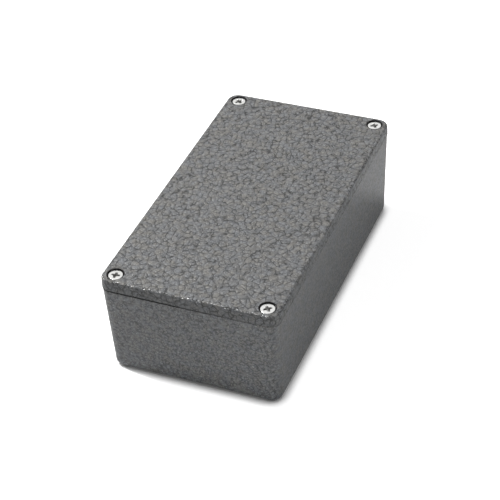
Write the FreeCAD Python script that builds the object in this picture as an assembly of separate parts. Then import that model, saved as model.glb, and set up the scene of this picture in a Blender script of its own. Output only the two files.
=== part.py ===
import FreeCAD, Part
import math
import os

V = FreeCAD.Vector

# Die cast instrument box: a drafted base with four corner bosses, a lid with a turned-down rim and four
# countersunk M3 screws. Millimetres. Z points up from the table, Y runs along the length, X across the width.
# The origin is at the middle of the underside.

# overall size, lid on
box_length = 120.0
box_width = 65.0
box_height = 40.0

# both castings
draft_angle = 1.5
corner_radius = 4.0
wall_thickness = 2.0
parting_chamfer = 0.25
least_radius = 0.4

# lid
lid_height = 4.5
lid_plate_thickness = 2.4
lid_edge_radius = 0.9
lip_depth = 1.5
lip_thickness = 1.2
lip_clearance = 0.2

# base
rim_step = 0.2
floor_thickness = 2.4
base_edge_radius = 2.5
floor_fillet_radius = 1.0
cavity_corner_radius = 1.2

# corner bosses
boss_radius = 3.9
screw_inset_side = 4.9
screw_inset_end = 4.5

# circuit board guide slots on the long walls
slot_pitch = 18.0
slot_width = 1.8
slot_depth = 1.4
rib_foot_thickness = 1.5
rib_top_gap = 4.0
rib_draft_angle = 0.5

# M3 countersunk screws with a cross recess, and their holes
thread_diameter = 3.0
thread_pitch = 0.5
thread_clearance = 0.02
thread_runout = 3.0
drill_point_angle = 118.0
screw_length = 10.0
shank_clearance = 0.2
head_diameter = 5.2
head_land = 0.25
head_sink = 0.35
mouth_clearance = 0.3
seat_clearance = 0.02
recess_span = 3.2
recess_wing = 0.95
recess_depth = 1.5
recess_taper = 0.45

# how far each screw is turned where it came tight, in degrees
screw_turns = {"near_left": 4, "near_right": 38, "far_left": 52, "far_right": 33}

# worked out from the sizes above
draft = math.tan(math.radians(draft_angle))
rib_draft = math.tan(math.radians(rib_draft_angle))
parting_height = box_height - lid_height
rim_width = box_width - 2 * rim_step
rim_length = box_length - 2 * rim_step
mouth_x = rim_width / 2 - wall_thickness
mouth_y = rim_length / 2 - wall_thickness
screw_x = box_width / 2 - screw_inset_side
screw_y = box_length / 2 - screw_inset_end
boss_x = screw_x - boss_radius
boss_y = screw_y - boss_radius
head_top = box_height - head_sink
screw_tip = head_top - screw_length
pitch_diameter = thread_diameter - 3 * math.sqrt(3) / 8 * thread_pitch
thread_depth = (thread_diameter - pitch_diameter) / 2


def screw_places():
    """Each screw's place by name, and its axis in plan."""
    for end_name, sy in (("near", -1), ("far", 1)):
        for side_name, sx in (("left", -1), ("right", 1)):
            yield end_name + "_" + side_name, sx * screw_x, sy * screw_y


def drafted_box(width, length, z_given, z_other, lean, centre=(0, 0)):
    """A block of the given size at z_given, whose sides move out by lean times the height on the way to z_other."""
    change = 2 * abs(z_other - z_given) * lean
    given = (z_given, width / 2, length / 2)
    other = (z_other, (width + change) / 2, (length + change) / 2)
    (bottom, x0, y0), (top, x1, y1) = sorted((given, other))
    block = Part.makeWedge(-x0, bottom, -y0, -y1, -x1, x0, top, y0, y1, x1)
    block.rotate(V(0, 0, 0), V(1, 0, 0), 90)
    block.translate(V(centre[0], centre[1], 0))
    return block


def upright_edges(block):
    return [edge for edge in block.Edges if edge.BoundBox.ZLength > block.BoundBox.ZLength / 2]


def edges_at(block, z):
    """The edges that lie wholly at height z."""
    near = 1e-4
    return [e for e in block.Edges if abs(e.BoundBox.ZMin - z) < near and abs(e.BoundBox.ZMax - z) < near]


def rounded_block(width, length, radius, z_given, z_other):
    """The outside of a casting: its sides lean in away from the parting line."""
    block = drafted_box(width, length, z_given, z_other, -draft)
    return block.makeFillet(radius, upright_edges(block))


def boss_columns(inset, z_mouth, z_end):
    """For each corner a square column, which widens away from the mouth and reaches out past the walls."""
    reach = boss_radius + inset
    beyond = screw_inset_side + screw_inset_end
    size = 2 * (reach + beyond)
    columns = []
    for name, x, y in screw_places():
        centre = (x + math.copysign(beyond, x), y + math.copysign(beyond, y))
        columns.append(drafted_box(size, size, z_mouth, z_end, draft, centre))
    return columns


def inside_block(inset, z_mouth, z_end):
    """The inside of the box. Its walls lean in away from the mouth and step in round the boss in each corner."""
    block = drafted_box(2 * (mouth_x - inset), 2 * (mouth_y - inset), z_mouth, z_end, -draft)
    block = block.cut(boss_columns(inset, z_mouth, z_end))

    def is_on_boss(edge):
        middle = edge.CenterOfMass
        return abs(middle.x) < boss_x and abs(middle.y) < boss_y

    wall_radius = max(cavity_corner_radius - inset, least_radius)
    flat = min(mouth_x - boss_x, mouth_y - boss_y) - wall_radius - least_radius
    block = block.makeFillet(wall_radius, [e for e in upright_edges(block) if not is_on_boss(e)])
    return block.makeFillet(min(boss_radius + inset, flat), [e for e in upright_edges(block) if is_on_boss(e)])


def turned(profile, x, y):
    """A solid turned about an upright axis at x, y from (radius, height) points that start and end on the axis."""
    points = [V(x + radius, y, z) for radius, z in profile]
    face = Part.Face(Part.makePolygon(points + points[:1]))
    return face.revolve(V(x, y, 0), V(0, 0, 1), 360)


def base_shell():
    shell = rounded_block(rim_width, rim_length, corner_radius - rim_step, parting_height, 0)
    shell = shell.makeFillet(base_edge_radius, edges_at(shell, 0))
    return shell.makeChamfer(parting_chamfer, edges_at(shell, parting_height))


def base_cavity():
    cavity = inside_block(0, parting_height, floor_thickness)
    return cavity.makeFillet(floor_fillet_radius, edges_at(cavity, floor_thickness))


def guide_ribs():
    """Pairs of upright ribs on both long walls. A board slides down between the two ribs of a pair."""
    top = parting_height - rib_top_gap
    foot = floor_thickness / 2
    wall_at_floor = mouth_x - (parting_height - floor_thickness) * draft
    reach = wall_thickness / 2 + mouth_x - wall_at_floor + slot_depth
    rib_offset = (slot_width + rib_foot_thickness) / 2
    slots_each_way = int((boss_y - rib_offset - rib_foot_thickness) // slot_pitch)
    ribs = []
    for i in range(-slots_each_way, slots_each_way + 1):
        for side in (-1, 1):
            for half in (-1, 1):
                centre = (side * (mouth_x + wall_thickness / 2), i * slot_pitch + half * rib_offset)
                ribs.append(drafted_box(2 * reach, rib_foot_thickness, foot, top, -rib_draft, centre))
    return ribs


def tapped_hole(x, y):
    """A blind hole at the thread's mean diameter, with a lead-in at its mouth and the drill's point below."""
    radius = pitch_diameter / 2 + thread_clearance
    bottom = screw_tip - thread_runout
    point = radius / math.tan(math.radians(drill_point_angle / 2))
    return turned([
        (0, parting_height),
        (radius + thread_depth, parting_height),
        (radius, parting_height - thread_depth),
        (radius, bottom),
        (0, bottom - point),
    ], x, y)


def base():
    cavity = base_cavity().cut(guide_ribs())
    casting = base_shell().cut(cavity)
    return casting.cut([tapped_hole(x, y) for name, x, y in screw_places()])


def lid_block():
    block = rounded_block(box_width, box_length, corner_radius, parting_height, box_height)
    block = block.makeFillet(lid_edge_radius, edges_at(block, box_height))
    return block.makeChamfer(parting_chamfer, edges_at(block, parting_height))


def countersunk_hole(x, y):
    """A hole through a corner of the lid: a short straight mouth, then a 90 degree seat for the head."""
    hole = thread_diameter / 2 + shank_clearance
    mouth = head_diameter / 2 + mouth_clearance
    seat_top = head_top - head_land + mouth_clearance - seat_clearance
    return turned([
        (0, box_height),
        (mouth, box_height),
        (mouth, seat_top),
        (hole, seat_top - (mouth - hole)),
        (hole, parting_height),
        (0, parting_height),
    ], x, y)


def lid():
    """The plate and its rim, the lip that drops into the mouth of the base, and the hollow inside the lip."""
    lip_bottom = parting_height - lip_depth
    plate_bottom = box_height - lid_plate_thickness
    lip = inside_block(lip_clearance, parting_height, lip_bottom)
    hollow = inside_block(lip_clearance + lip_thickness, lip_bottom, plate_bottom)
    casting = lid_block().fuse(lip).cut(hollow)
    return casting.cut([countersunk_hole(x, y) for name, x, y in screw_places()])


def screw_blank(x, y):
    head = head_diameter / 2
    shank = pitch_diameter / 2 - thread_clearance
    cone_top = head_top - head_land
    return turned([
        (0, head_top),
        (head, head_top),
        (head, cone_top),
        (shank, cone_top - (head - shank)),
        (shank, screw_tip + thread_depth),
        (shank - thread_depth, screw_tip),
        (0, screw_tip),
    ], x, y)


def cross_outline(span, wing, z):
    """A plus sign in plan, span across, with arms as thick as wing."""
    far = span / 2
    near = wing / 2
    quarter = [(far, near), (near, near), (near, far)]
    points = []
    for sx, sy in ((1, 1), (-1, 1), (-1, -1), (1, -1)):
        run = quarter if sx * sy > 0 else reversed(quarter)
        points += [V(sx * px, sy * py, z) for px, py in run]
    return Part.makePolygon(points + points[:1])


def cross_recess(x, y, turn):
    """The driver's recess, a cross that narrows towards its foot."""
    upper = cross_outline(recess_span, recess_wing, head_top)
    lower = cross_outline(recess_span * recess_taper, recess_wing * recess_taper, head_top - recess_depth)
    recess = Part.makeLoft([lower, upper], True, True)
    recess.rotate(V(0, 0, 0), V(0, 0, 1), turn)
    recess.translate(V(x, y, 0))
    return recess


def all_pieces():
    pieces = {"base": base(), "lid": lid()}
    for place, x, y in screw_places():
        pieces["lid_screw_" + place] = screw_blank(x, y).cut(cross_recess(x, y, screw_turns[place]))
    return pieces


os.makedirs("parts", exist_ok=True)
for node, solid in all_pieces().items():
    solid.exportStep("parts/" + node + ".step")
    print(node, "volume", round(solid.Volume, 1), "valid", solid.isValid(), "solids", len(solid.Solids))
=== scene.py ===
import bpy
import math
from mathutils import Matrix, Vector


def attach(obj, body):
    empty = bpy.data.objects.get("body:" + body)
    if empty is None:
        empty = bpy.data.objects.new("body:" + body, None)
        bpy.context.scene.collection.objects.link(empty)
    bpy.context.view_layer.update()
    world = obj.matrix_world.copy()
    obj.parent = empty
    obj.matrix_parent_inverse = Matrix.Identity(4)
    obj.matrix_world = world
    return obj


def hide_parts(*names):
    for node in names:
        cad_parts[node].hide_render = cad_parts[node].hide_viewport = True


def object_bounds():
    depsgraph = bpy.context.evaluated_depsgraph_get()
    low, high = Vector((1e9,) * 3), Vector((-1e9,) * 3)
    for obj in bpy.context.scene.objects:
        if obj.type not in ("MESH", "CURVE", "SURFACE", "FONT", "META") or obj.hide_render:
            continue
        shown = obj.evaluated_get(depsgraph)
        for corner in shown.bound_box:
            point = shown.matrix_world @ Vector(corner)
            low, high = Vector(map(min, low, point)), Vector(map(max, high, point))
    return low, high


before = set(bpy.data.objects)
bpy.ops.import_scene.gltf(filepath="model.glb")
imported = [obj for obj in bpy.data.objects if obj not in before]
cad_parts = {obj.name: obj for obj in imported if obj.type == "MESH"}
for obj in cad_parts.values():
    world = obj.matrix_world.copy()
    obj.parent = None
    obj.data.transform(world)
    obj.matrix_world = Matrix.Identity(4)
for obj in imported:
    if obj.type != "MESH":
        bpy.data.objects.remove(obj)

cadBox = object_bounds()
mm = 0.001
hair = 1e-6  # metres: points closer than this are one

# Places on the castings, in millimetres, as the part file has them
boxPlan = {
    "jointHeight": 35.5,
    "screwX": 27.6,
    "screwY": 55.5,
    "insideX": 30.9,  # this and the next four lie within the thickness of the walls, floor and lid
    "insideY": 58.4,
    "insideSum": 87.0,  # x and y added up, at the corners
    "insideFrom": 1.2,
    "insideTo": 38.8,
}


def hexColour(text):  # sRGB hex to the linear values that the sockets take
    values = [int(text[i:i + 2], 16) / 255 for i in (1, 3, 5)]
    linear = [v / 12.92 if v <= 0.04045 else ((v + 0.055) / 1.055) ** 2.4 for v in values]
    return (*linear, 1.0)


def put(tree, kind, inputs={}, **settings):  # adds a node; an input is a value, a node or one of its outputs
    node = tree.nodes.new(kind)
    for name, value in settings.items():
        setattr(node, name, value)
    live = [socket for socket in node.inputs if socket.enabled]
    for key, value in inputs.items():
        socket = live[key] if isinstance(key, int) else next(each for each in live if each.name == key)
        if isinstance(value, bpy.types.Node):
            value = next(each for each in value.outputs if each.enabled)
        if isinstance(value, bpy.types.NodeSocket):
            tree.links.new(value, socket)
        else:
            socket.default_value = value
    return node


def newMaterial(name):
    material = bpy.data.materials.new(name)
    material.use_nodes = True
    material.node_tree.nodes.clear()
    return material, material.node_tree


def dress(piece, material):
    piece.data.materials.clear()
    piece.data.materials.append(material)


# Hammertone stoving paint on a die cast skin. Its aluminium flake floats up in small domed cells and the
# darker resin sinks between them: faces stoved lying down show a net of dark curled veins, upright walls,
# where the coat ran thin, only a fine grain. The paint drew back from the edges and is smooth there, so they
# glint. Inside, the casting was left bare: satin grey aluminium. Lengths are in millimetres.
paintLook = {
    "cool": "#6f7174",
    "plain": "#727272",
    "warm": "#767470",
    "driftSize": 2.6,  # of a stretch that is cool or warm
    "driftFrom": (0.36, 0.64),
    "flake": "#a9aaa9",
    "flakeSize": 0.5,
    "flakeFrom": (0.5, 0.75),
    "flakeStrength": 0.4,
    "vein": "#0c0d0d",
    "wallTint": "#f9fcff",
    # a large net and a small one: width of a cell, share of it that is vein, depth
    "topCells": ((2.25, 0.173, 0.97), (1.08, 0.22, 0.62)),
    "wallCells": ((1.4, 0.25, 0.95), (0.8, 0.3, 0.78)),
    "curl": 1.1,  # how far the veins wander
    "curlSize": 1.5,
    "patchesPerCell": 1.3,  # where the veins fade
    "patchFrom": (0.35, 0.6),
    "faintest": 0.45,  # strength that is left there
    "domeFoot": 0.45,  # the rise of a cell's edge, as a share of the cell
    "flatFrom": (0.45, 0.8),  # how far a face points up or down, from upright to flat
    "longFrom": (0.5, 0.9),  # how far it points sideways, from the end walls to the long ones
    "wallGrain": (0.74, 0.50),  # strength of the veins on the end walls and on the long ones
    "wallShade": (0.15, 0.10),  # and how much of their colour lies between them: a darkening set face by face, painted shade
    # the same on the lid's rim, whose darkening is painted shade
    "rimGrain": (0.56, 0.75),
    "rimShade": (0.49, 0.26),
    "gapShade": "#222222",  # painted shade in the joint and in a ring round each screw's head
    "jointHalf": 0.5,
    "jointCore": 0.6,  # share of that which is dark all through
    "jointFades": (-16, 30),  # where the joint's painted shade fades, from left to right
    "jointDark": (1.0, 0.15),
    "shadeRingRadius": 3.15,  # of the painted shade round a screw's head
    "shadeRingSoft": (0.15, 0.1),  # inwards and outwards from there
    "bare": "#b9bbbd",
    "chip": (-21.8, -54.2, 0.16),  # its place and radius
    "relief": 0.06,  # depth of a vein
    "domed": 1.15,  # rise of a cell on the lid, as a share of that
    "edgeMiddle": 0.74,  # how far the middle of a rounded edge points up
    "edgeSmooth": (0.23, 0.25),  # reach of the gloss from there
    "edgeRelief": (3.0, 1.0),  # times the relief on an edge and away from it
    "edgeReliefTo": (0.05, 0.35),
    "roughness": 0.36,
    "veinRoughness": 0.15,  # more in a vein
    "edgeRoughness": 0.12,
    "bareRoughness": 0.42,
}


def atPlace(tree):  # the point's place on the part, in millimetres
    place = put(tree, "ShaderNodeTexCoord").outputs["Object"]
    return put(tree, "ShaderNodeVectorMath", {0: place, "Scale": 1 / mm}, operation="SCALE")


def paintVeins(tree, place, cells, look):  # veins are 1 in a vein's middle, domes are 1 in a cell's middle
    curl = put(tree, "ShaderNodeTexNoise", {"Vector": place, "Scale": 1 / look["curlSize"]}).outputs["Color"]
    curl = put(tree, "ShaderNodeVectorMath", {0: curl, 1: (0.5, 0.5, 0.5)}, operation="SUBTRACT")
    curl = put(tree, "ShaderNodeVectorMath", {0: curl, "Scale": look["curl"]}, operation="SCALE")
    moved = put(tree, "ShaderNodeVectorMath", {0: place, 1: curl}, operation="ADD")
    nets = []
    borders = []
    for width, share, depth in cells:
        border = put(tree, "ShaderNodeTexVoronoi", {"Vector": moved, "Scale": 1 / width},
                     feature="DISTANCE_TO_EDGE")
        borders.append(border)
        nets.append(put(tree, "ShaderNodeMapRange", {"Value": border, "From Max": share, "To Min": depth,
                                                     "To Max": 0.0}, interpolation_type="SMOOTHSTEP"))
    net = put(tree, "ShaderNodeMath", {0: nets[0], 1: nets[1]}, operation="MAXIMUM")
    widest = cells[0][0]
    patches = put(tree, "ShaderNodeTexNoise", {"Vector": place, "Scale": look["patchesPerCell"] / widest,
                                               "Detail": 1.0})
    faint = put(tree, "ShaderNodeMapRange", {"Value": patches, "From Min": look["patchFrom"][0],
                                             "From Max": look["patchFrom"][1], "To Min": look["faintest"]},
                interpolation_type="SMOOTHSTEP")
    veins = put(tree, "ShaderNodeMath", {0: net, 1: faint}, operation="MULTIPLY")
    domes = put(tree, "ShaderNodeMapRange", {"Value": borders[0], "From Max": look["domeFoot"]},
                interpolation_type="SMOOTHSTEP")
    return veins, domes


def castingVeins(tree, place, onLid, flat, onLong, look):  # full on flat faces, a grain on walls and rim
    topNet, domes = paintVeins(tree, place, look["topCells"], look)
    wallNet = paintVeins(tree, place, look["wallCells"], look)[0]
    grains = []
    # the shades darken the end walls and the lid's rim more than the long walls: painted shade
    for net, strengths, shades in ((wallNet, look["wallGrain"], look["wallShade"]),
                                   (topNet, look["rimGrain"], look["rimShade"])):
        strength = put(tree, "ShaderNodeMix", {"Factor": onLong, "A": strengths[0], "B": strengths[1]})
        shade = put(tree, "ShaderNodeMix", {"Factor": onLong, "A": shades[0], "B": shades[1]})
        grains.append(put(tree, "ShaderNodeMath", {0: net, 1: strength, 2: shade}, operation="MULTIPLY_ADD"))
    upright = put(tree, "ShaderNodeMix", {"Factor": onLid, "A": grains[0], "B": grains[1]})
    veins = put(tree, "ShaderNodeMix", {"Factor": flat, "A": upright, "B": topNet})
    return veins, put(tree, "ShaderNodeMath", {0: domes, 1: onLid}, operation="MULTIPLY")


def flakeColour(tree, place, look):  # slightly cool or warm by turns, brighter where flake lies thick
    drift = put(tree, "ShaderNodeTexNoise", {"Vector": place, "Scale": 1 / look["driftSize"]})
    cells = put(tree, "ShaderNodeValToRGB", {"Fac": drift})
    ramp = cells.color_ramp
    for element, position, key in zip(ramp.elements, look["driftFrom"], ("cool", "warm")):
        element.position = position
        element.color = hexColour(look[key])
    ramp.elements.new(0.5).color = hexColour(look["plain"])
    flake = put(tree, "ShaderNodeTexNoise", {"Vector": place, "Scale": 1 / look["flakeSize"], "Detail": 3.0})
    flake = put(tree, "ShaderNodeMapRange", {"Value": flake, "From Min": look["flakeFrom"][0],
                                             "From Max": look["flakeFrom"][1],
                                             "To Max": look["flakeStrength"]},
                interpolation_type="SMOOTHSTEP")
    return put(tree, "ShaderNodeMix", {"Factor": flake, "A": cells, "B": hexColour(look["flake"])},
               data_type="RGBA")


def fromPoint(tree, x, y, px, py):  # distance in plan
    across = put(tree, "ShaderNodeMath", {0: x, 1: px}, operation="SUBTRACT")
    along = put(tree, "ShaderNodeMath", {0: y, 1: py}, operation="SUBTRACT")
    flat = put(tree, "ShaderNodeCombineXYZ", {"X": across, "Y": along})
    return put(tree, "ShaderNodeVectorMath", {0: flat}, operation="LENGTH").outputs["Value"]


def paintedGapShade(tree, x, z, aside, along, look):  # painted shade in the joint, fading towards the right, and round the screws' heads
    fromJoint = put(tree, "ShaderNodeMath", {0: z, 1: boxPlan["jointHeight"]}, operation="SUBTRACT")
    fromJoint = put(tree, "ShaderNodeMath", {0: fromJoint}, operation="ABSOLUTE")
    core = look["jointHalf"] * look["jointCore"]
    joint = put(tree, "ShaderNodeMapRange", {"Value": fromJoint, "From Min": core,
                                             "From Max": look["jointHalf"], "To Min": 1.0, "To Max": 0.0})
    gap = put(tree, "ShaderNodeMapRange", {"Value": x, "From Min": look["jointFades"][0],
                                           "From Max": look["jointFades"][1], "To Min": look["jointDark"][0],
                                           "To Max": look["jointDark"][1]}, interpolation_type="SMOOTHSTEP")
    joint = put(tree, "ShaderNodeMath", {0: joint, 1: gap}, operation="MULTIPLY")
    fromScrew = fromPoint(tree, aside, along, boxPlan["screwX"], boxPlan["screwY"])
    inner, outer = look["shadeRingSoft"]
    ringShade = put(tree, "ShaderNodeMapRange", {"Value": fromScrew, "From Min": look["shadeRingRadius"] - inner,
                                            "From Max": look["shadeRingRadius"] + outer, "To Min": 1.0,
                                            "To Max": 0.0})
    return put(tree, "ShaderNodeMath", {0: joint, 1: ringShade}, operation="MAXIMUM")


def insideBox(tree, aside, along, z):  # 1 on the surfaces of the inside, 0 outside
    plan = boxPlan
    middle = (plan["insideFrom"] + plan["insideTo"]) / 2
    half = (plan["insideTo"] - plan["insideFrom"]) / 2
    height = put(tree, "ShaderNodeMath", {0: z, 1: middle}, operation="SUBTRACT")
    height = put(tree, "ShaderNodeMath", {0: height}, operation="ABSOLUTE")
    corner = put(tree, "ShaderNodeMath", {0: aside, 1: along}, operation="ADD")
    found = put(tree, "ShaderNodeMath", {0: height, 1: half}, operation="LESS_THAN")
    for value, limit in ((aside, plan["insideX"]), (along, plan["insideY"]), (corner, plan["insideSum"])):
        within = put(tree, "ShaderNodeMath", {0: value, 1: limit}, operation="LESS_THAN")
        found = put(tree, "ShaderNodeMath", {0: found, 1: within}, operation="MULTIPLY")
    return found


def bareMetal(tree, x, y, z, aside, along, look):  # the inside, and one small chip of the lid's paint
    chipX, chipY, chipRadius = look["chip"]
    chip = put(tree, "ShaderNodeMath", {0: fromPoint(tree, x, y, chipX, chipY), 1: chipRadius},
               operation="LESS_THAN")
    inside = insideBox(tree, aside, along, z)
    return put(tree, "ShaderNodeMath", {0: inside, 1: chip}, operation="MAXIMUM")


# 1 where a face lies flat, 1 on the long walls, and how far its slope is from that of an edge's middle
def faceSlopes(tree, look):
    normal = put(tree, "ShaderNodeTexCoord").outputs["Normal"]
    normal = put(tree, "ShaderNodeSeparateXYZ", {0: normal}).outputs
    level = put(tree, "ShaderNodeMath", {0: normal["Z"]}, operation="ABSOLUTE")
    sideways = put(tree, "ShaderNodeMath", {0: normal["X"]}, operation="ABSOLUTE")
    flat = put(tree, "ShaderNodeMapRange", {"Value": level, "From Min": look["flatFrom"][0],
                                            "From Max": look["flatFrom"][1]}, interpolation_type="SMOOTHSTEP")
    onLong = put(tree, "ShaderNodeMapRange", {"Value": sideways, "From Min": look["longFrom"][0],
                                              "From Max": look["longFrom"][1]},
                 interpolation_type="SMOOTHSTEP")
    fromEdge = put(tree, "ShaderNodeMath", {0: level, 1: look["edgeMiddle"]}, operation="SUBTRACT")
    return flat, onLong, put(tree, "ShaderNodeMath", {0: fromEdge}, operation="ABSOLUTE")


def paintColour(tree, place, flat, veins, dark, bare, look):  # cooler on the walls
    colour = put(tree, "ShaderNodeMix", {"Factor": veins, "A": flakeColour(tree, place, look),
                                         "B": hexColour(look["vein"])}, data_type="RGBA")
    steep = put(tree, "ShaderNodeMath", {0: 1.0, 1: flat}, operation="SUBTRACT")
    colour = put(tree, "ShaderNodeMix", {"Factor": steep, "A": colour, "B": hexColour(look["wallTint"])},
                 data_type="RGBA", blend_type="MULTIPLY")
    # painted shade in the joint and round the screws' heads, then the bare inside
    for part, key in ((dark, "gapShade"), (bare, "bare")):
        colour = put(tree, "ShaderNodeMix", {"Factor": part, "A": colour, "B": hexColour(look[key])},
                     data_type="RGBA")
    return colour


def paintRoughness(tree, fromEdge, veins, bare, look):  # glossiest on the edges, dullest in the veins
    plain = put(tree, "ShaderNodeMapRange", {"Value": fromEdge, "From Min": look["edgeSmooth"][0],
                                             "From Max": look["edgeSmooth"][1]},
                interpolation_type="SMOOTHSTEP")
    rough = put(tree, "ShaderNodeMix", {"Factor": plain, "A": look["edgeRoughness"], "B": look["roughness"]})
    rough = put(tree, "ShaderNodeMath", {0: veins, 1: look["veinRoughness"], 2: rough},
                operation="MULTIPLY_ADD")
    return put(tree, "ShaderNodeMix", {"Factor": bare, "A": rough, "B": look["bareRoughness"]})


def paintRelief(tree, fromEdge, veins, domes, bare, look):  # veins lie low, cells stand up, most on the edges
    onEdge, offEdge = look["edgeRelief"]
    height = put(tree, "ShaderNodeMapRange", {"Value": fromEdge, "From Min": look["edgeReliefTo"][0],
                                              "From Max": look["edgeReliefTo"][1], "To Min": -onEdge,
                                              "To Max": -offEdge}, interpolation_type="SMOOTHSTEP")
    hollows = put(tree, "ShaderNodeMath", {0: domes, 1: -look["domed"], 2: veins}, operation="MULTIPLY_ADD")
    height = put(tree, "ShaderNodeMath", {0: height, 1: hollows}, operation="MULTIPLY")
    height = put(tree, "ShaderNodeMix", {"Factor": bare, "A": height, "B": 0.0})
    return put(tree, "ShaderNodeBump", {"Height": height, "Distance": look["relief"] * mm})


def hammertonePaint(name, look):
    material, tree = newMaterial(name)
    place = atPlace(tree)
    x, y, z = put(tree, "ShaderNodeSeparateXYZ", {0: place}).outputs
    aside = put(tree, "ShaderNodeMath", {0: x}, operation="ABSOLUTE")
    along = put(tree, "ShaderNodeMath", {0: y}, operation="ABSOLUTE")
    onLid = put(tree, "ShaderNodeMath", {0: z, 1: boxPlan["jointHeight"]}, operation="GREATER_THAN")
    flat, onLong, fromEdge = faceSlopes(tree, look)
    veins, domes = castingVeins(tree, place, onLid, flat, onLong, look)
    dark = paintedGapShade(tree, x, z, aside, along, look)
    bare = bareMetal(tree, x, y, z, aside, along, look)
    # the painted shade counts as dark metal, which gives no gloss back
    metal = put(tree, "ShaderNodeMath", {0: bare, 1: dark}, operation="MAXIMUM")
    paint = put(tree, "ShaderNodeBsdfPrincipled", {
        "Base Color": paintColour(tree, place, flat, veins, dark, bare, look),
        "Metallic": metal,
        "Roughness": paintRoughness(tree, fromEdge, veins, bare, look),
        "Normal": paintRelief(tree, fromEdge, veins, domes, bare, look),
    })
    put(tree, "ShaderNodeOutputMaterial", {"Surface": paint})
    return material


# Bright nickel plate on a steel screw, a clean white metal. The driver's recess and the thread are painted
# darker with depth, most on the upright walls: painted shade. Lengths are in millimetres.
nickelLook = {
    "nickel": "#e4e4e2",
    "roughness": (0.15, 0.28),  # from patch to patch
    "mottleSize": 0.35,
    "mottleFrom": (0.3, 0.7),
    # colour of the painted shade in the recess
    "recessShade": "#51504e",
    "recessShadeFrom": (0.03, 0.28),  # depth under the head's top
    "recessShadeStrength": 0.9,
    "recessShadeRoughness": 0.3,  # more roughness where the shade is painted
    "floorFrom": (0.7, 0.9),  # how far a face points up, from shaded to unshaded
    "floorShine": 0.75,
}


def nickelPlate(name, look, headTop):
    material, tree = newMaterial(name)
    place = atPlace(tree)
    z = put(tree, "ShaderNodeSeparateXYZ", {0: place}).outputs["Z"]
    normal = put(tree, "ShaderNodeTexCoord").outputs["Normal"]
    up = put(tree, "ShaderNodeSeparateXYZ", {0: normal}).outputs["Z"]
    # painted shade: darker with depth under the head's top, less on faces that point up
    down = put(tree, "ShaderNodeMath", {0: headTop, 1: z}, operation="SUBTRACT")
    recessShading = put(tree, "ShaderNodeMapRange", {"Value": down, "From Min": look["recessShadeFrom"][0],
                                             "From Max": look["recessShadeFrom"][1],
                                             "To Max": look["recessShadeStrength"]},
                interpolation_type="SMOOTHSTEP")
    kept = put(tree, "ShaderNodeMapRange", {"Value": up, "From Min": look["floorFrom"][0],
                                            "From Max": look["floorFrom"][1], "To Min": 1.0,
                                            "To Max": 1 - look["floorShine"]},
               interpolation_type="SMOOTHSTEP")
    recessShading = put(tree, "ShaderNodeMath", {0: recessShading, 1: kept}, operation="MULTIPLY")
    colour = put(tree, "ShaderNodeMix", {"Factor": recessShading, "A": hexColour(look["nickel"]),
                                         "B": hexColour(look["recessShade"])}, data_type="RGBA")
    mottle = put(tree, "ShaderNodeTexNoise", {"Vector": place, "Scale": 1 / look["mottleSize"],
                                              "Detail": 3.0})
    rough = put(tree, "ShaderNodeMapRange", {"Value": mottle, "From Min": look["mottleFrom"][0],
                                             "From Max": look["mottleFrom"][1],
                                             "To Min": look["roughness"][0], "To Max": look["roughness"][1]})
    rough = put(tree, "ShaderNodeMath", {0: recessShading, 1: look["recessShadeRoughness"], 2: rough},
                operation="MULTIPLY_ADD")
    plate = put(tree, "ShaderNodeBsdfPrincipled", {"Base Color": colour, "Metallic": 1.0, "Roughness": rough})
    put(tree, "ShaderNodeOutputMaterial", {"Surface": plate})
    return material


# M3 x 10 countersunk screws with a cross recess, in millimetres
screwShape = {
    "headTop": 39.65,
    "headRadius": 2.5,
    "headSides": 64,
    "headLand": 0.25,
    "edgeRound": 0.1,
    "neckRadius": 1.3,
    "coreRadius": 1.08,
    "crestRadius": 1.33,  # clear of the tapped hole, which has no thread of its own
    "ridgeSunk": 0.08,  # how deep the thread's ridge starts in the core
    "ridgeWidth": 0.9,  # of its root, as a share of the pitch
    "ridgeCrest": 0.12,  # of its crest, as a share of that
    "ridgeSteps": 24,  # in a turn
    "pitch": 0.5,
    "threadTurns": 15,
    "tip": 29.65,
    "tipChamfer": 0.4,
    "recessSpan": 3.3,
    "recessWing": 0.95,
    "recessRound": 0.2,
    "recessDepth": 1.15,
    "recessTaper": 0.45,
    "wingTaper": 1.3,  # the arms' thickness narrows that much less
    "wellRadius": 1.0,
    "wellSides": 48,
    "wellDepth": 1.3,  # deeper than the arms
    "wellTaper": 0.3,
    "recessLift": 0.05,  # keeps the widest ring of each cutter above the head's top
    "cutterTop": 0.3,  # height of a cutter over that ring
    "smoothBelow": 32,  # degrees
    "turned": {"near_left": 4, "near_right": 38, "far_left": 52, "far_right": 33},
}


def selectOnly(piece):
    bpy.ops.object.select_all(action="DESELECT")
    piece.select_set(True)
    bpy.context.view_layer.objects.active = piece


def settle():  # the selected object's place, turn and size go into its mesh
    bpy.ops.object.transform_apply(location=True, rotation=True, scale=True)
    return bpy.context.object


def editOnly(piece, pickFaces=None, pickEdges=None):  # one piece in edit mode, with the wanted faces or edges
    selectOnly(piece)
    bpy.ops.object.mode_set(mode="EDIT")
    bpy.ops.mesh.select_mode(type="EDGE" if pickEdges else "FACE")
    bpy.ops.mesh.select_all(action="DESELECT")
    bpy.ops.object.mode_set(mode="OBJECT")
    mesh = piece.data
    if pickFaces:
        for face in mesh.polygons:
            face.select = pickFaces(face)
    if pickEdges:
        for edge in mesh.edges:
            edge.select = pickEdges(*(mesh.vertices[i].co for i in edge.vertices))
    bpy.ops.object.mode_set(mode="EDIT")


def leaveEdit():
    bpy.ops.object.mode_set(mode="OBJECT")
    return bpy.context.object


def facesUp(face):
    return face.normal.z > 0.9


def facesDown(face):
    return face.normal.z < -0.9


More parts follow.
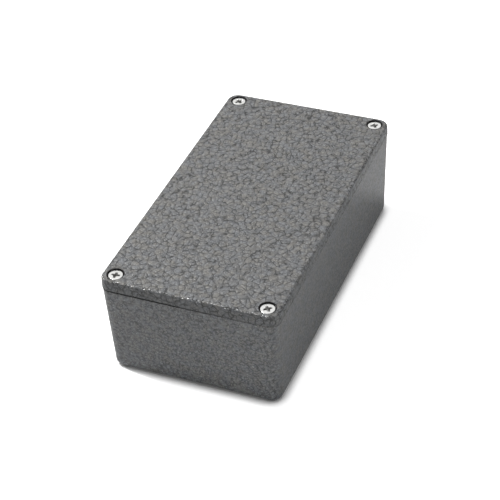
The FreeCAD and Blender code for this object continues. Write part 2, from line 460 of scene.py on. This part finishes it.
def applyTo(piece, kind, **settings):
    selectOnly(piece)
    modifier = piece.modifiers.new(kind.lower(), kind)
    for name, value in settings.items():
        setattr(modifier, name, value)
    bpy.ops.object.modifier_apply(modifier=modifier.name)


def joinBy(piece, tool, operation):
    applyTo(piece, "BOOLEAN", object=tool, operation=operation, solver="EXACT")
    bpy.data.objects.remove(tool)


def screwBlank(shape):  # head, cone, neck, core and tip, extruded downwards from the head's rim
    land = shape["headLand"] * mm
    bpy.ops.object.select_all(action="DESELECT")
    bpy.ops.mesh.primitive_cylinder_add(vertices=shape["headSides"], radius=shape["headRadius"] * mm,
                                        depth=land, location=(0, 0, shape["headTop"] * mm - land / 2))
    blank = settle()
    editOnly(blank, pickFaces=facesDown)
    coneHeight = shape["headRadius"] - shape["neckRadius"]
    coneFoot = shape["headTop"] - shape["headLand"] - coneHeight
    threadTop = shape["tip"] + shape["threadTurns"] * shape["pitch"] + shape["tipChamfer"]
    steps = (
        (coneHeight, shape["neckRadius"] / shape["headRadius"]),
        (coneFoot - threadTop, 1.0),
        (shape["neckRadius"] - shape["coreRadius"], shape["coreRadius"] / shape["neckRadius"]),
        (threadTop - shape["neckRadius"] + shape["coreRadius"] - shape["tip"] - shape["tipChamfer"], 1.0),
        (shape["tipChamfer"], 1 - shape["tipChamfer"] / 2 / shape["coreRadius"]),
    )
    for down, factor in steps:
        bpy.ops.mesh.extrude_region_move(TRANSFORM_OT_translate={"value": (0, 0, -down * mm)})
        bpy.ops.transform.resize(value=(factor, factor, 1), center_override=(0, 0, 0))
    blank = leaveEdit()
    rimHeight = shape["headTop"] * mm - hair
    editOnly(blank, pickEdges=lambda a, b: min(a.z, b.z) > rimHeight)
    bpy.ops.mesh.bevel(offset=shape["edgeRound"] * mm, segments=3, profile=0.5)
    return leaveEdit()


def threadCoil(shape):  # a ridge with a V section wound round the core
    root = shape["coreRadius"] - shape["ridgeSunk"]
    height = shape["crestRadius"] - root
    middle = (root + shape["crestRadius"]) / 2
    bpy.ops.object.select_all(action="DESELECT")
    bpy.ops.mesh.primitive_plane_add(size=1, rotation=(math.pi / 2, 0, 0),
                                     location=(middle * mm, 0, (shape["tip"] + shape["tipChamfer"]) * mm))
    bpy.context.object.scale = (height * mm, shape["pitch"] * shape["ridgeWidth"] * mm, 1)
    coil = settle()
    editOnly(coil, pickEdges=lambda a, b: min(a.x, b.x) > middle * mm)
    bpy.ops.transform.resize(value=(1, 1, shape["ridgeCrest"]))
    bpy.ops.mesh.select_mode(type="FACE")
    bpy.ops.mesh.select_all(action="SELECT")
    bpy.ops.mesh.delete(type="ONLY_FACE")
    coil = leaveEdit()
    applyTo(coil, "SCREW", axis="Z", angle=2 * math.pi, screw_offset=shape["pitch"] * mm,
            iterations=shape["threadTurns"], steps=shape["ridgeSteps"], render_steps=shape["ridgeSteps"],
            use_merge_vertices=False)
    editOnly(coil)
    bpy.ops.mesh.select_all(action="SELECT")
    bpy.ops.mesh.remove_doubles(threshold=hair)
    bpy.ops.mesh.fill_holes(sides=0)
    bpy.ops.mesh.normals_make_consistent(inside=False)
    return leaveEdit()


def raiseTop(cutter, shape):
    editOnly(cutter, pickFaces=facesUp)
    bpy.ops.mesh.extrude_region_move(TRANSFORM_OT_translate={"value": (0, 0, shape["cutterTop"] * mm)})
    return leaveEdit()


def recessWing(shape, turn):  # one arm pair of the driver's cross, narrower at its foot
    depth = shape["recessDepth"]
    middle = shape["headTop"] + shape["recessLift"] - depth / 2
    bpy.ops.object.select_all(action="DESELECT")
    bpy.ops.mesh.primitive_cube_add(size=1, location=(0, 0, middle * mm))
    bpy.context.object.scale = (shape["recessSpan"] * mm, shape["recessWing"] * mm, depth * mm)
    wing = settle()
    editOnly(wing, pickEdges=lambda a, b: abs(a.z - b.z) > depth * mm / 2)
    bpy.ops.mesh.bevel(offset=shape["recessRound"] * mm, segments=3)
    wing = leaveEdit()
    editOnly(wing, pickFaces=facesDown)
    bpy.ops.transform.resize(value=(shape["recessTaper"], shape["recessTaper"] * shape["wingTaper"], 1),
                             center_override=(0, 0, 0))
    wing = raiseTop(leaveEdit(), shape)
    wing.rotation_euler = (0, 0, turn)
    return settle()


def recessWell(shape):  # the round well where the cross's arms meet
    depth = shape["wellDepth"]
    middle = shape["headTop"] + shape["recessLift"] - depth / 2
    bpy.ops.object.select_all(action="DESELECT")
    bpy.ops.mesh.primitive_cone_add(vertices=shape["wellSides"],
                                    radius1=shape["wellRadius"] * shape["wellTaper"] * mm,
                                    radius2=shape["wellRadius"] * mm, depth=depth * mm,
                                    location=(0, 0, middle * mm))
    return raiseTop(settle(), shape)


def modelScrew(shape):
    screw = screwBlank(shape)
    joinBy(screw, threadCoil(shape), "UNION")
    for turn in (0, math.pi / 2):
        joinBy(screw, recessWing(shape, turn), "DIFFERENCE")
    joinBy(screw, recessWell(shape), "DIFFERENCE")
    editOnly(screw)
    bpy.ops.mesh.select_all(action="SELECT")
    bpy.ops.mesh.remove_doubles(threshold=hair)
    bpy.ops.mesh.normals_make_consistent(inside=False)
    screw = leaveEdit()
    bpy.ops.object.shade_smooth_by_angle(angle=math.radians(shape["smoothBelow"]))
    return screw


def placeScrews(shape, material):
    pattern = modelScrew(shape)
    dress(pattern, material)
    for place, turn in shape["turned"].items():
        end, hand = place.split("_")
        screw = pattern.copy()
        screw.data = pattern.data.copy()
        bpy.context.scene.collection.objects.link(screw)
        screw.name = "screw_" + place
        screw.location = (boxPlan["screwX"] * mm * (1 if hand == "right" else -1),
                          boxPlan["screwY"] * mm * (1 if end == "far" else -1), 0)
        screw.rotation_euler = (0, 0, math.radians(turn))
        selectOnly(screw)
        settle()
        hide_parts("lid_screw_" + place)
        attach(screw, "root")
    bpy.data.objects.remove(pattern)


print("castings: hammertone paint")
castingPaint = hammertonePaint("hammertone_paint", paintLook)
for name in ("base", "lid"):
    dress(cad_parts[name], castingPaint)

print("screws: blank, thread, recess")
placeScrews(screwShape, nickelPlate("bright_nickel_plate", nickelLook, screwShape["headTop"]))


# White paper and lamps, in metres and watts
stageLook = {
    "paper": "#f2f2f2",
    "paperSize": 3.0,
    "paperHeight": -0.00002,  # just clear of the box's underside, which lies at 0
    "paperGlow": 0.7,
    "mirroredGlow": 0.04,
    "shadowReach": 4 * mm,
    "shadowFrom": (0.4, 0.95),  # share of open sky, from shadow to blank paper
    "shadowSamples": 8,
    "skyLevel": 0.2,
    "softLamp": {"place": (-0.38, 0.01, 0.62), "aim": (0, 0, 0.03), "size": 0.14, "power": 2.5},
    "bareLamp": {"place": (-0.33, -0.01, 0.70), "aim": (0, 0, 0.03), "size": 0.04, "power": 2.4},
    "sideLamp": {"place": (-0.60, 0.05, 0.28), "aim": (0, 0, 0.03), "size": 0.04, "power": 1.4},
    "highLamp": {"place": (0.14, -0.01, 0.73), "aim": (0, 0, 0.03), "size": 0.03, "power": 0.3},
    "rightLamp": {"place": (0.43, -0.17, 0.50), "aim": (0, 0, 0.03), "size": 0.025, "power": 0.5},
    "fillLamp": {"place": (0.10, -0.20, 0.04), "aim": (0.02, -0.06, 0.02), "size": 0.08, "power": 0.062},
}


def layPaper(look):
    bpy.ops.object.select_all(action="DESELECT")
    bpy.ops.mesh.primitive_plane_add(size=look["paperSize"], location=(0, 0, look["paperHeight"]))
    paper = bpy.context.object
    paper.name = "paper"
    material, tree = newMaterial("paper")
    sheet = put(tree, "ShaderNodeBsdfDiffuse", {"Color": hexColour(look["paper"])})
    # seen straight on the paper is blank; close to the box ambient occlusion takes that glow away, a painted
    # contact shadow
    path = put(tree, "ShaderNodeLightPath").outputs
    seen = put(tree, "ShaderNodeMath", {0: path["Is Camera Ray"], 1: look["paperGlow"]}, operation="MULTIPLY")
    mirrored = put(tree, "ShaderNodeMath", {0: path["Is Glossy Ray"], 1: path["Is Transmission Ray"]},
                   operation="MAXIMUM")
    glow = put(tree, "ShaderNodeMath", {0: mirrored, 1: look["mirroredGlow"], 2: seen},
               operation="MULTIPLY_ADD")
    nearby = put(tree, "ShaderNodeAmbientOcclusion", {"Distance": look["shadowReach"]},
                 samples=look["shadowSamples"]).outputs["AO"]
    clear = put(tree, "ShaderNodeMapRange", {"Value": nearby, "From Min": look["shadowFrom"][0],
                                             "From Max": look["shadowFrom"][1]},
                interpolation_type="SMOOTHSTEP")
    glow = put(tree, "ShaderNodeMath", {0: glow, 1: clear}, operation="MULTIPLY")
    light = put(tree, "ShaderNodeEmission", {"Strength": glow})
    both = put(tree, "ShaderNodeAddShader", {0: sheet, 1: light})
    put(tree, "ShaderNodeOutputMaterial", {"Surface": both})
    dress(paper, material)


def lightWorld(look):  # plain white where it is seen, dimmer as a light
    world = bpy.data.worlds.new("studio")
    bpy.context.scene.world = world
    world.use_nodes = True
    tree = world.node_tree
    tree.nodes.clear()
    path = put(tree, "ShaderNodeLightPath").outputs
    seen = path["Is Camera Ray"]
    for other in ("Is Glossy Ray", "Is Transmission Ray"):
        seen = put(tree, "ShaderNodeMath", {0: seen, 1: path[other]}, operation="MAXIMUM")
    strength = put(tree, "ShaderNodeMapRange", {"Value": seen, "To Min": look["skyLevel"], "To Max": 1.0})
    sky = put(tree, "ShaderNodeBackground", {"Color": (1, 1, 1, 1), "Strength": strength})
    put(tree, "ShaderNodeOutputWorld", {"Surface": sky})


def hangLamp(name, look):
    data = bpy.data.lights.new(name, "AREA")
    data.energy = look["power"]
    data.size = look["size"]
    lamp = bpy.data.objects.new(name, data)
    bpy.context.scene.collection.objects.link(lamp)
    lamp.location = look["place"]
    lamp.rotation_euler = (Vector(look["aim"]) - Vector(look["place"])).to_track_quat("-Z", "Y").to_euler()


# The photograph's viewpoint, from the box's outline in it: angles in degrees, distances in metres, and the
# lens and its sensor in millimetres
cameraLook = {
    "turned": 24.13,
    "raised": 38.66,
    "rolled": -3.77,
    "away": 0.5702,
    "aside": -0.00175,
    "up": -0.00399,
    "nearest": 0.01,
    "lens": 112.41,
    "sensor": 36.0,
}


def setCamera(look):
    turned, raised, rolled = (math.radians(look[key]) for key in ("turned", "raised", "rolled"))
    level = Vector((math.cos(turned), math.sin(turned), 0))
    back = Vector((math.sin(turned) * math.cos(raised), -math.cos(turned) * math.cos(raised),
                   math.sin(raised)))
    upright = back.cross(level)
    right = math.cos(rolled) * level + math.sin(rolled) * upright
    top = math.cos(rolled) * upright - math.sin(rolled) * level
    middle = (Vector(cadBox[0]) + Vector(cadBox[1])) / 2
    data = bpy.data.cameras.new("camera")
    data.lens = look["lens"]
    data.sensor_width = look["sensor"]
    data.clip_start = look["nearest"]
    camera = bpy.data.objects.new("camera", data)
    bpy.context.scene.collection.objects.link(camera)
    place = middle + back * look["away"] + right * look["aside"] + top * look["up"]
    camera.matrix_world = Matrix.Translation(place) @ Matrix((right, top, back)).transposed().to_4x4()
    bpy.context.scene.camera = camera


print("stage: paper, lamps, camera")
layPaper(stageLook)
lightWorld(stageLook)
for name in ("softLamp", "bareLamp", "sideLamp", "highLamp", "rightLamp", "fillLamp"):
    hangLamp(name, stageLook[name])
setCamera(cameraLook)
bpy.context.scene.view_settings.view_transform = "Standard"
